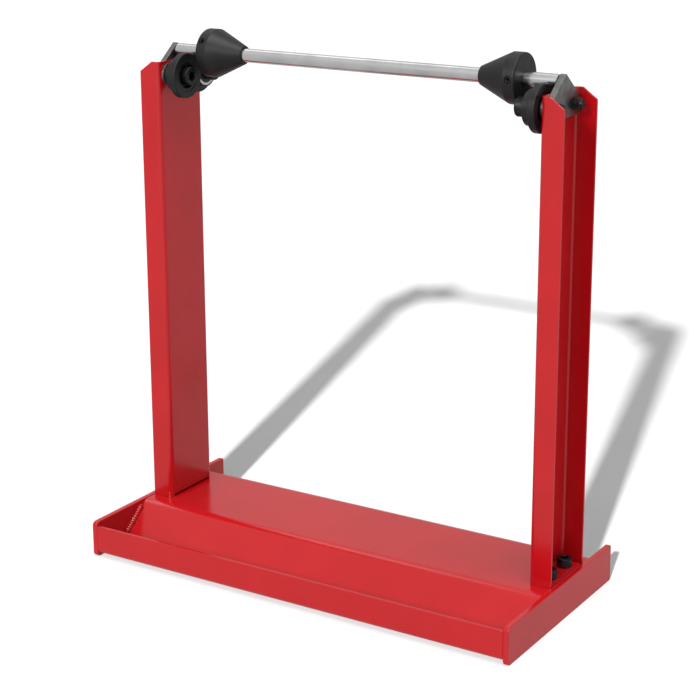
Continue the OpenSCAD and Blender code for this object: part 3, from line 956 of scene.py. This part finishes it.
class STAND_OT_stop_plates(bpy.types.Operator):
    """Cut the two pointed end-stop plates and tap them for the axle bolts"""

    bl_idname = "stand.stop_plates"
    bl_label = "End-stop plates"

    def execute(self, context):
        s = context.scene.stand_uprights
        fasteners = context.scene.stand_fasteners
        bore = bolt_bore(fasteners.axle, fasteners.thread_gap)
        for side in SIDES:
            node = f"{side}_stop_plate"
            lo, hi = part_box(node)
            mid = (lo + hi) / 2
            thick = hi.x - lo.x
            eave = hi.z - (hi.y - mid.y) * math.tan(s.roof_angle)
            corners = [
                (lo.x, lo.y, lo.z), (lo.x, hi.y, lo.z), (lo.x, hi.y, eave),
                (lo.x, mid.y, hi.z), (lo.x, lo.y, eave),
            ]
            bm = slab(corners, [s.plate_corner] * len(corners), (thick, 0, 0))
            axles = [axle_place(side, end) for end in ENDS]
            bm = drilled(bm, [((mid.x, a.y, a.z), (1, 0, 0), bore, 4 * thick) for a in axles])
            ease_edges(bm, s.plate_edge, segments=2)
            finish_piece(f"{side}_end_stop", bm, "stand", "zinc_plated_steel", [node])
        return {"FINISHED"}


class STAND_OT_axle_bolts(bpy.types.Operator):
    """Make the four socket-head axle bolts"""

    bl_idname = "stand.axle_bolts"
    bl_label = "Axle bolts"

    def execute(self, context):
        s = context.scene.stand_fasteners
        d, long, pitch, head = in_mm(s.axle, s.axle_length, s.axle_pitch, s.axle_head)
        for side, end in PLACES:
            node = f"{side}_{end}_axle_bolt"
            sign = SIDES[side]
            lo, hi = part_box(node)
            mid = (lo + hi) / 2
            seat = lo.x + s.axle if sign > 0 else hi.x - s.axle
            bm = socket_screw(d, long, pitch, head_r=head / 2, plain=s.axle_plain / MM)
            placed(bm, (seat, mid.y, mid.z), (sign, 0, 0))
            finish_piece(f"{side}_{end}_axle_screw", bm, "stand", "black_oxide_steel", [node])
        return {"FINISHED"}


class STAND_OT_rollers(bpy.types.Operator):
    """Turn the four flanged rollers"""

    bl_idname = "stand.rollers"
    bl_label = "Rollers"

    def execute(self, context):
        s = context.scene.stand_rollers
        seat, hub, fillet, rim = in_mm(s.bearing / 2, s.hub, s.fillet, s.rim_edge)
        mouth, deep, shoulder = in_mm(s.mouth, s.mouth_depth, s.bearing_width)
        hub_r = seat + s.hub_wall / MM
        stop = seat - s.shoulder / MM
        for side, end in PLACES:
            node = f"{side}_{end}_roller"
            (left, right), mid, r, wide = turned_node(node)
            bm = spun(
                [
                    (seat, 0, 0.3), (hub_r, 0, 0.5), (hub_r, hub, fillet), (r, hub, rim),
                    (r, wide, rim), (stop + mouth + deep, wide, 0.2),
                    (stop + mouth, wide - deep, 0.2), (stop, wide - deep, 0.3),
                    (stop, shoulder, 0.2), (seat, shoulder, 0.2),
                ],
                segments=128,
            )
            outward = (SIDES[side] > 0) == (end == "front")
            way = SIDES[side] if outward else -SIDES[side]
            placed(bm, (left if way > 0 else right, mid.y, mid.z), (way, 0, 0))
            finish_piece(f"{side}_{end}_wheel", bm, f"roller_{side}_{end}", "black_nylon", [node])
        return {"FINISHED"}


class STAND_OT_bearings(bpy.types.Operator):
    """Give the bearings' rings, seals, balls and cages their finishes"""

    bl_idname = "stand.bearings"
    bl_label = "Bearings"

    def execute(self, context):
        for side, end in PLACES:
            for part, slot in (
                ("bearing_outer", "bearing_steel"),
                ("bearing_inner", "bearing_steel"),
                ("bearing_balls", "bearing_steel"),
                ("bearing_cage", "cage_brass"),
                ("bearing_shields", "seal_rubber"),
            ):
                keep_node(f"{side}_{end}_{part}", slot)
        return {"FINISHED"}


class STAND_OT_sleeves(bpy.types.Operator):
    """Turn the spacer sleeves and washers between the bearings and the uprights"""

    bl_idname = "stand.sleeves"
    bl_label = "Sleeves and washers"

    def execute(self, context):
        bore = context.scene.stand_fasteners.sleeve_bore / 2 / MM
        for side, end in PLACES:
            for part, piece in (("spacer", "sleeve"), ("washer", "disc")):
                node = f"{side}_{end}_{part}"
                (left, _), mid, r, long = turned_node(node)
                bm = spun([(bore, 0, 0.2), (r, 0, 0.3), (r, long, 0.3), (bore, long, 0.2)])
                placed(bm, (left, mid.y, mid.z), (1, 0, 0))
                finish_piece(f"{side}_{end}_{piece}", bm, "stand", "zinc_plated_steel", [node])
        return {"FINISHED"}


class STAND_OT_shaft(bpy.types.Operator):
    """Grind the balancing shaft, chamfered and centre-drilled at both ends"""

    bl_idname = "stand.shaft"
    bl_label = "Shaft"

    def execute(self, context):
        s = context.scene.stand_shaft
        (left, _), mid, r, long = turned_node("shaft")
        edge, mark = in_mm(s.chamfer, s.centre_mark)
        deep = mark * math.sqrt(3)
        bm = spun(
            [
                (0, deep, 0), (mark, 0, 0), (r - edge, 0, 0), (r, edge, 0),
                (r, long - edge, 0), (r - edge, long, 0), (mark, long, 0), (0, long - deep, 0),
            ],
            closed=False,
        )
        placed(bm, (left, mid.y, mid.z), (1, 0, 0))
        finish_piece("balancing_shaft", bm, "balance_shaft", "bright_shaft_steel", ["shaft"])
        return {"FINISHED"}


def grub_direction(side, settings):
    """The direction in which one cone's grub screw points outward."""
    rise = settings.left_grub_angle if side == "left" else settings.right_grub_angle
    return Vector((0, -math.cos(rise), math.sin(rise)))


def grub_origin(side, settings):
    """The point on the shaft's axis below one cone's grub screw."""
    lo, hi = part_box(f"{side}_cone")
    x = lo.x + settings.band / 2 if side == "left" else hi.x - settings.band / 2
    return Vector((x, SHAFT_AXIS.y, SHAFT_AXIS.z))


class STAND_OT_cones(bpy.types.Operator):
    """Turn the two centring cones and drill their bands for the grub screws"""

    bl_idname = "stand.cones"
    bl_label = "Cones"

    def execute(self, context):
        s = context.scene.stand_shaft
        grub = context.scene.stand_fasteners.grub
        edge, band, gap, wall = in_mm(s.cone_edge, s.band, s.bore_gap, s.tip_wall)
        bore = SHAFT_R + gap
        tip = SHAFT_R + wall
        for side, sign in SIDES.items():
            node = f"{side}_cone"
            (left, right), mid, r, long = turned_node(node)
            bm = spun(
                [
                    (bore, 0, 0.3), (r, 0, edge), (r, band, 0.5),
                    (tip, long, 0.5), (bore, long, 0.2),
                ],
                segments=128,
            )
            placed(bm, (left if sign < 0 else right, mid.y, mid.z), (-sign, 0, 0))
            toward = grub_direction(side, s)
            centre = grub_origin(side, s) + toward * (SHAFT_R + r) / 2 * MM
            bm = drilled(bm, [(centre, toward, grub / 2 + s.bore_gap, 1.2 * r * MM)])
            finish_piece(f"{side}_turned_cone", bm, f"cone_{side}", "black_nylon", [node])
        return {"FINISHED"}


class STAND_OT_grub_screws(bpy.types.Operator):
    """Make the two headless grub screws that lock the cones"""

    bl_idname = "stand.grub_screws"
    bl_label = "Grub screws"

    def execute(self, context):
        s = context.scene.stand_shaft
        fasteners = context.scene.stand_fasteners
        d, pitch, sunk = in_mm(fasteners.grub, fasteners.grub_pitch, fasteners.grub_sunk)
        inner = SHAFT_R + 2 * s.bore_gap / MM
        for side in SIDES:
            outer = turned_node(f"{side}_cone")[2] - sunk
            toward = grub_direction(side, s)
            bm = socket_screw(d, outer - inner, pitch, segments=48)
            placed(bm, grub_origin(side, s) + toward * outer * MM, -toward)
            finish_piece(
                f"{side}_set_screw", bm, f"grub_{side}", "black_oxide_steel", [f"{side}_grub_screw"]
            )
        return {"FINISHED"}


# Studio


def far_light(name, source, strength, size):
    """A soft light from far off, in the direction of its source."""
    data = bpy.data.lights.new(name, "SUN")
    data.energy = strength
    data.angle = size
    light = added(data, name)
    light.rotation_euler = Vector(source).to_track_quat("Z", "Y").to_euler()
    return light


def source_of(turn, rise):
    """The direction in which a light lies that shines toward an azimuth from a height."""
    return (-math.cos(rise) * math.cos(turn), -math.cos(rise) * math.sin(turn), math.sin(rise))


class STAND_OT_stage(bpy.types.Operator):
    """Set up the floor, the soft studio light and the camera"""

    bl_idname = "stand.stage"
    bl_label = "Studio"

    def execute(self, context):
        s = context.scene.stand_studio
        bm = bmesh.new()
        bmesh.ops.create_grid(bm, x_segments=1, y_segments=1, size=s.floor_size / 2)
        mesh = mesh_of(bm, "studio_floor")
        mesh.materials.append(studio_floor(context.scene.stand_colours))
        floor = added(mesh, "studio_floor")

        world = bpy.data.worlds.new("white_room")
        context.scene.world = world
        world.use_nodes = True
        world.node_tree.nodes.clear()
        tree = world.node_tree
        where = add_node(tree, "ShaderNodeTexCoord")
        parts = add_node(tree, "ShaderNodeSeparateXYZ", {"Vector": (where, "Generated")})
        rise = math.sin(s.wall_top)
        strength = add_node(
            tree, "ShaderNodeMapRange", {"Value": (parts, "Z")},
            {"From Min": 0.75 * rise, "From Max": 1.25 * rise, "To Min": s.walls, "To Max": s.ceiling},
            interpolation_type="SMOOTHSTEP",
        )
        room = add_node(
            tree, "ShaderNodeBackground", {"Strength": (strength, "Result")}, {"Color": (1, 1, 1, 1)}
        )
        add_node(tree, "ShaderNodeOutputWorld", {"Surface": (room, "Background")})

        key = far_light("key_light", source_of(s.key_turn, s.key_rise), s.key_strength, s.key_size)
        far_light("top_light", s.top_source, s.top_strength, s.top_size)
        far_light("rim_light", s.rim_source, s.rim_strength, s.rim_size)
        floor_key = far_light(
            "floor_key_light", source_of(s.floor_key_turn, s.floor_key_rise), s.floor_key_strength,
            s.floor_key_size,
        )
        for light, state in ((key, "EXCLUDE"), (floor_key, "INCLUDE")):
            lit = bpy.data.collections.new(light.name + "_floor")
            lit.objects.link(floor)
            lit.collection_objects[0].light_linking.link_state = state
            light.light_linking.receiver_collection = lit

        data = bpy.data.cameras.new("camera")
        data.lens = s.lens
        data.sensor_width = 36
        data.shift_y = s.shift
        camera = added(data, "camera")
        camera.location = s.camera_place
        camera.rotation_euler = s.camera_turn
        context.scene.camera = camera
        context.scene.view_settings.view_transform = "Standard"
        return {"FINISHED"}


class STAND_PT_pieces(bpy.types.Panel):
    """Lists the pieces of the stand and the studio"""

    bl_idname = "STAND_PT_pieces"
    bl_label = "Wheel balancing stand"
    bl_space_type = "VIEW_3D"
    bl_region_type = "UI"
    bl_category = "Balancing stand"

    def draw(self, context):
        for operator in PIECES:
            self.layout.operator(operator.bl_idname)


PIECES = (
    STAND_OT_tray,
    STAND_OT_end_plates,
    STAND_OT_welds,
    STAND_OT_uprights,
    STAND_OT_foot_fasteners,
    STAND_OT_stop_plates,
    STAND_OT_axle_bolts,
    STAND_OT_rollers,
    STAND_OT_bearings,
    STAND_OT_sleeves,
    STAND_OT_shaft,
    STAND_OT_cones,
    STAND_OT_grub_screws,
    STAND_OT_stage,
)
GROUPS = {
    "stand_base": BaseSizes,
    "stand_uprights": UprightSizes,
    "stand_fasteners": FastenerSizes,
    "stand_rollers": RollerSizes,
    "stand_shaft": ShaftSizes,
    "stand_colours": FinishColours,
    "stand_studio": StudioSettings,
}


def register():
    for group in GROUPS.values():
        bpy.utils.register_class(group)
    for name, group in GROUPS.items():
        setattr(bpy.types.Scene, name, PointerProperty(type=group))
    for piece in PIECES:
        bpy.utils.register_class(piece)
    bpy.utils.register_class(STAND_PT_pieces)


def unregister():
    bpy.utils.unregister_class(STAND_PT_pieces)
    for piece in reversed(PIECES):
        bpy.utils.unregister_class(piece)
    for name in GROUPS:
        delattr(bpy.types.Scene, name)
    for group in GROUPS.values():
        bpy.utils.unregister_class(group)


def main():
    register()
    for piece in PIECES:
        area, name = piece.bl_idname.split(".")
        getattr(getattr(bpy.ops, area), name)()


if __name__ == "__main__":
    main()
